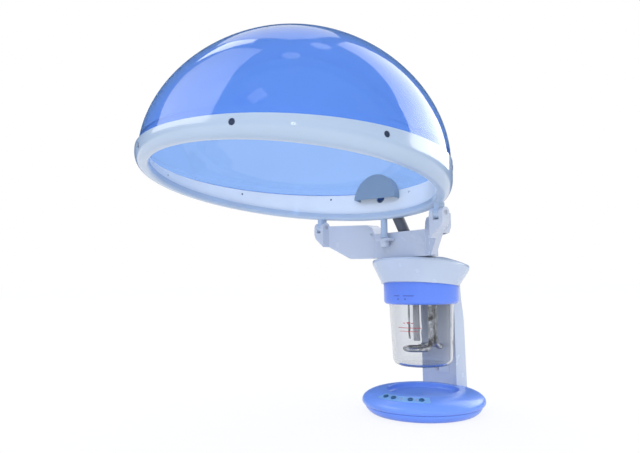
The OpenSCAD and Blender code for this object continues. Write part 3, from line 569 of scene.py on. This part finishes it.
column_lofted = united("column_lofted", column_mesh(), tab_mesh())
column = finished("column_lofted", column_lofted, "stand", BY_NODE["column"])
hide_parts("column")


# Plain printed marks on the jar and its collar, with their measures in metres

JAR_Y = 0.003
COLLAR_R = 0.055
COLLAR_Z = 0.1545
JAR_R = 0.0475
JAR_LOW_R = 0.0435
JAR_LOW_Z = 0.076
PRINT_LIFT = 0.00006
LINE_W = 0.0009

ARROW = [(-0.0014, -0.001), (0.0014, -0.001), (0, 0.0016)]
ARROW_TURNS = (math.radians(-6.7), math.radians(5.3))
ARROW_Z = 0.1629
LOCK_LINE_Z = 0.1668
LEVEL_ARROW = [(0.001, 0.0055), (0.0035, 0.0085), (-0.0015, 0.0085)]
LEVEL_TURN = math.radians(3)
LEVEL_Z = 0.1215


def jar_radius(z):
    """The glass widens from its foot to the collar."""
    return JAR_LOW_R + (JAR_R - JAR_LOW_R) * (z - JAR_LOW_Z) / (COLLAR_Z - JAR_LOW_Z)


def collar_radius(z):
    """The collar is as wide at every height."""
    return COLLAR_R


def wrapped(name, strips, radius, turn, z, material):
    """Flat faces, from their corners across and up, laid round the jar at a turn from the front."""
    bm = bmesh.new()
    for corners in strips:
        points = []
        for across, rise in corners:
            r = radius(z + rise) + PRINT_LIFT
            a = turn + across / r
            points.append(bm.verts.new((r * math.sin(a), JAR_Y - r * math.cos(a), z + rise)))
        bm.faces.new(points)
    return finished(name, mesh_of(bm, name), "jar", material)


def line_strips(x0, x1, y0, y1, parts):
    """A level line cut into short strips, so that it follows the round surface."""
    step = (x1 - x0) / parts
    strips = []
    for i in range(parts):
        left, right = x0 + i * step, x0 + (i + 1) * step
        strips.append([(left, y0), (right, y0), (right, y1), (left, y1)])
    return strips


for number, arrow_turn in enumerate(ARROW_TURNS, 1):
    wrapped("lock_mark_%d" % number, [ARROW], collar_radius, arrow_turn, ARROW_Z, PRINT_BLUE)

lock_line = line_strips(-0.014, -0.004, 0, LINE_W, 5)
lock_line += line_strips(0.002, 0.018, 0, LINE_W, 8)
wrapped("lock_line", lock_line, collar_radius, 0, LOCK_LINE_Z, PRINT_BLUE)

level_mark = line_strips(-0.016, 0.02, 0, LINE_W, 14)
level_mark += line_strips(-0.013, 0.015, -0.0048, -0.0041, 12)
level_mark.append(LEVEL_ARROW)
level_mark += line_strips(-0.007, -0.0035, 0.0065, 0.0075, 2)
level_mark += line_strips(0.0055, 0.009, 0.0065, 0.0075, 2)
wrapped("level_mark", level_mark, jar_radius, LEVEL_TURN, LEVEL_Z, PRINT_RED)


# Two thin dark plates of painted shade, for the shadowed insides of small holes in the column's
# front and in the floor of the base's recess

HOLE_TURNS = 24
COLUMN_HOLE_X, COLUMN_HOLE_Z = -0.007, 0.0525
COLUMN_HOLE_R, COLUMN_HOLE_T = 0.0024, 0.0003
COLUMN_HOLE_PROUD = 0.0002
RECESS_HOLE_AT = (0.0226, -0.0087, 0.0235)
RECESS_HOLE_R, RECESS_HOLE_T = 0.0016, 0.00012


def hole(name, radius, thickness, place):
    """A thin dark plate of painted shade that stands for a hole's shadowed inside."""
    mesh = lathe_mesh(name, plate_profile(radius, thickness), HOLE_TURNS, place)
    return finished(name, mesh, "stand", HOLE_SHADE_PAINT)


column_front = HUG_Y + math.sqrt(HUG_R ** 2 - COLUMN_HOLE_X ** 2)
hole_at = Matrix.Translation((COLUMN_HOLE_X, column_front - COLUMN_HOLE_PROUD, COLUMN_HOLE_Z))
facing_front = Matrix.Rotation(math.pi / 2, 4, "X")
hole("column_hole", COLUMN_HOLE_R, COLUMN_HOLE_T, hole_at @ facing_front)
hole("recess_hole", RECESS_HOLE_R, RECESS_HOLE_T, Matrix.Translation(RECESS_HOLE_AT))


# Stage: a pale floor and a white surround

WHITE = (1, 1, 1, 1)
FLOOR_R = 30.0
FLOOR_COLOUR = (0.9, 0.91, 0.93, 1)
FLOOR_ROUGH = 0.9
FLOOR_GLOW = 1.03
FLOOR_GLOW_SHARE = 0.82
SKY = 1.0
SKY_COLOUR = (0.93, 0.95, 1, 1)
SKY_MIRRORED = 0.3
SKY_MIRRORED_COLOUR = (0.22, 0.45, 1, 1)


def seen_directly(tree, kinds):
    """One where a ray of these kinds looks at the surface."""
    path = tree.nodes.new("ShaderNodeLightPath")
    total = path.outputs[kinds[0]]
    for kind in kinds[1:]:
        either = tree.nodes.new("ShaderNodeMath")
        either.operation = "MAXIMUM"
        link(tree, total, either.inputs[0])
        link(tree, path.outputs[kind], either.inputs[1])
        total = either.outputs[0]
    return total


def blended(tree, factor, first, second):
    """The second shader where the factor is one, and the first where it is zero."""
    blend = tree.nodes.new("ShaderNodeMixShader")
    link(tree, factor, blend.inputs["Fac"])
    link(tree, first.outputs[0], blend.inputs[1])
    link(tree, second.outputs[0], blend.inputs[2])
    return blend


def floor_white():
    """Takes the object's shadow, and looks white to the eye, in mirrors and through glass."""
    material, tree, shader = new_material("floor_white")
    shader.inputs["Base Color"].default_value = FLOOR_COLOUR
    shader.inputs["Roughness"].default_value = FLOOR_ROUGH
    shader.inputs["Specular IOR Level"].default_value = 0.0
    glow = tree.nodes.new("ShaderNodeEmission")
    glow.inputs["Color"].default_value = WHITE
    glow.inputs["Strength"].default_value = FLOOR_GLOW
    seen = seen_directly(tree, ("Is Camera Ray", "Is Glossy Ray", "Is Transmission Ray"))
    share = tree.nodes.new("ShaderNodeMath")
    share.operation = "MULTIPLY"
    share.inputs[1].default_value = FLOOR_GLOW_SHARE
    link(tree, seen, share.inputs[0])
    blend = blended(tree, share.outputs[0], shader, glow)
    link(tree, blend.outputs[0], tree.nodes["Material Output"].inputs["Surface"])
    return material


def lay_floor():
    """A square floor, far wider than the camera sees."""
    mesh = bpy.data.meshes.new("floor")
    corners = [(x * FLOOR_R, y * FLOOR_R, 0) for x, y in ((-1, -1), (1, -1), (1, 1), (-1, 1))]
    mesh.from_pydata(corners, [], [(0, 1, 2, 3)])
    mesh.materials.append(floor_white())
    floor = bpy.data.objects.new("floor", mesh)
    scene.collection.objects.link(floor)


def background(tree, colour, strength):
    """One background shader of the world."""
    node = tree.nodes.new("ShaderNodeBackground")
    node.inputs["Color"].default_value = colour
    node.inputs["Strength"].default_value = strength
    return node


def surround():
    """White to the eye and through glass, a dim blue sky in mirrors, and a pale light elsewhere."""
    world = bpy.data.worlds.new("world")
    world.use_nodes = True
    tree = world.node_tree
    light = tree.nodes["Background"]
    light.inputs["Color"].default_value = SKY_COLOUR
    light.inputs["Strength"].default_value = SKY
    mirrored = background(tree, SKY_MIRRORED_COLOUR, SKY_MIRRORED)
    unseen = blended(tree, seen_directly(tree, ("Is Glossy Ray",)), light, mirrored)
    white = background(tree, WHITE, 1.0)
    seen = seen_directly(tree, ("Is Camera Ray", "Is Transmission Ray"))
    whole = blended(tree, seen, unseen, white)
    link(tree, whole.outputs[0], tree.nodes["World Output"].inputs["Surface"])
    return world


lay_floor()
scene.world = surround()


# Softboxes: sheets whose corners are directions from the hood, azimuth from the front and
# elevation, in degrees. A fade runs along an axis from one (place, strength) to another, with
# places counted from the hood in sheet distances.

HOOD_MIDDLE = Vector((-0.05, -0.24, 0.35))
SHEET_AWAY = 8.0
DISC_CORNERS = 20

BOX_LEFT = [
    (-70, 12), (-73, 24), (-80, 33), (-88, 42), (-94, 58), (-75, 77),
    (-50, 72), (-32, 63), (-22, 51), (-18, 38), (-18, 12),
]
BOX_EDGE = [(-98, 44), (-97, 56), (-103, 66), (-112, 64), (-111, 50)]
BOX_BACK = [
    (-112, 44), (-113, 64), (-133, 74), (-156, 70),
    (-160, 54), (-150, 46), (-137, 40), (-124, 40),
]
BOX_RIGHT = [
    (127, 10), (129, 34), (141, 47), (158, 58), (170, 64),
    (184, 66), (194, 56), (186, 42), (178, 28), (180, 10),
]
FILL = [(5, 2), (5, 30), (60, 30), (60, 2)]
WINDOW = [(12, 33), (22, 42), (12, 50), (4, 40)]
FLASH = [(39, 5), (41.5, 5), (41.5, 17), (39, 17)]
LAMP_A, LAMP_B = (32, 85), (179, 75)
LAMP_SIZE = 8

BOX_LEFT_FADE = ("Y", (-0.65, 3.3), (-0.05, 1.0))
BOX_RIGHT_FADE = ("Z", (0.35, 4.8), (0.88, 1.3))
BOX_EDGE_LIGHT = 2.8
BOX_BACK_LIGHT = 1.0
LAMP_LIGHT = 1.2
FILL_LIGHT = 2.6
WINDOW_LIGHT = 1.4
FLASH_LIGHT = 18


def direction(azimuth, elevation):
    """A unit vector from an azimuth and an elevation in degrees."""
    a, e = math.radians(azimuth), math.radians(elevation)
    return Vector((math.sin(a) * math.cos(e), -math.cos(a) * math.cos(e), math.sin(e)))


def seen_from_hood(corners):
    """Corners in metres from directions."""
    return [HOOD_MIDDLE + direction(*c) * SHEET_AWAY for c in corners]


def disc_from_hood(azimuth, elevation, size):
    """Points of a disc that faces the hood, size in degrees across."""
    axis = direction(azimuth, elevation)
    side = axis.orthogonal().normalized()
    other = axis.cross(side)
    middle = HOOD_MIDDLE + axis * SHEET_AWAY
    r = SHEET_AWAY * math.tan(math.radians(size / 2))
    turns = [2 * math.pi * i / DISC_CORNERS for i in range(DISC_CORNERS)]
    return [middle + (side * math.cos(t) + other * math.sin(t)) * r for t in turns]


def faded(tree, axis, near, far):
    """A strength that changes along one axis of the stage."""
    place = tree.nodes.new("ShaderNodeTexCoord")
    parts = tree.nodes.new("ShaderNodeSeparateXYZ")
    change = tree.nodes.new("ShaderNodeMapRange")
    middle = HOOD_MIDDLE["XYZ".index(axis)]
    for end, (where, value) in (("Min", near), ("Max", far)):
        change.inputs["From " + end].default_value = middle + where * SHEET_AWAY
        change.inputs["To " + end].default_value = value
    link(tree, place.outputs["Object"], parts.inputs[0])
    link(tree, parts.outputs[axis], change.inputs["Value"])
    return change.outputs["Result"]


def softbox(name, points, strength=1.0, fade=None, through=False, lights=True):
    """A sheet that glows: through shows it behind glass, and lights lets it light matt surfaces."""
    mesh = bpy.data.meshes.new(name)
    mesh.from_pydata([tuple(p) for p in points], [], [tuple(range(len(points)))])
    sheet = bpy.data.objects.new(name, mesh)
    scene.collection.objects.link(sheet)
    sheet.visible_camera = False
    sheet.visible_diffuse = lights
    sheet.visible_transmission = through
    material, tree, _ = new_material(name)
    light = tree.nodes.new("ShaderNodeEmission")
    light.inputs["Strength"].default_value = strength
    if fade:
        link(tree, faded(tree, *fade), light.inputs["Strength"])
    link(tree, light.outputs[0], tree.nodes["Material Output"].inputs["Surface"])
    mesh.materials.append(material)
    return sheet


softbox("box_left", seen_from_hood(BOX_LEFT), fade=BOX_LEFT_FADE, lights=False)
softbox("box_edge", seen_from_hood(BOX_EDGE), BOX_EDGE_LIGHT)
softbox("box_back", seen_from_hood(BOX_BACK), BOX_BACK_LIGHT)
softbox("box_right", seen_from_hood(BOX_RIGHT), fade=BOX_RIGHT_FADE, lights=False)
softbox("lamp_a", disc_from_hood(*LAMP_A, LAMP_SIZE), LAMP_LIGHT)
softbox("lamp_b", disc_from_hood(*LAMP_B, LAMP_SIZE), LAMP_LIGHT)
fill = softbox("fill", seen_from_hood(FILL), FILL_LIGHT)
fill.visible_glossy = False  # lights the front without a mirror image
softbox("window", seen_from_hood(WINDOW), WINDOW_LIGHT)
softbox("flash", seen_from_hood(FLASH), FLASH_LIGHT, through=True)
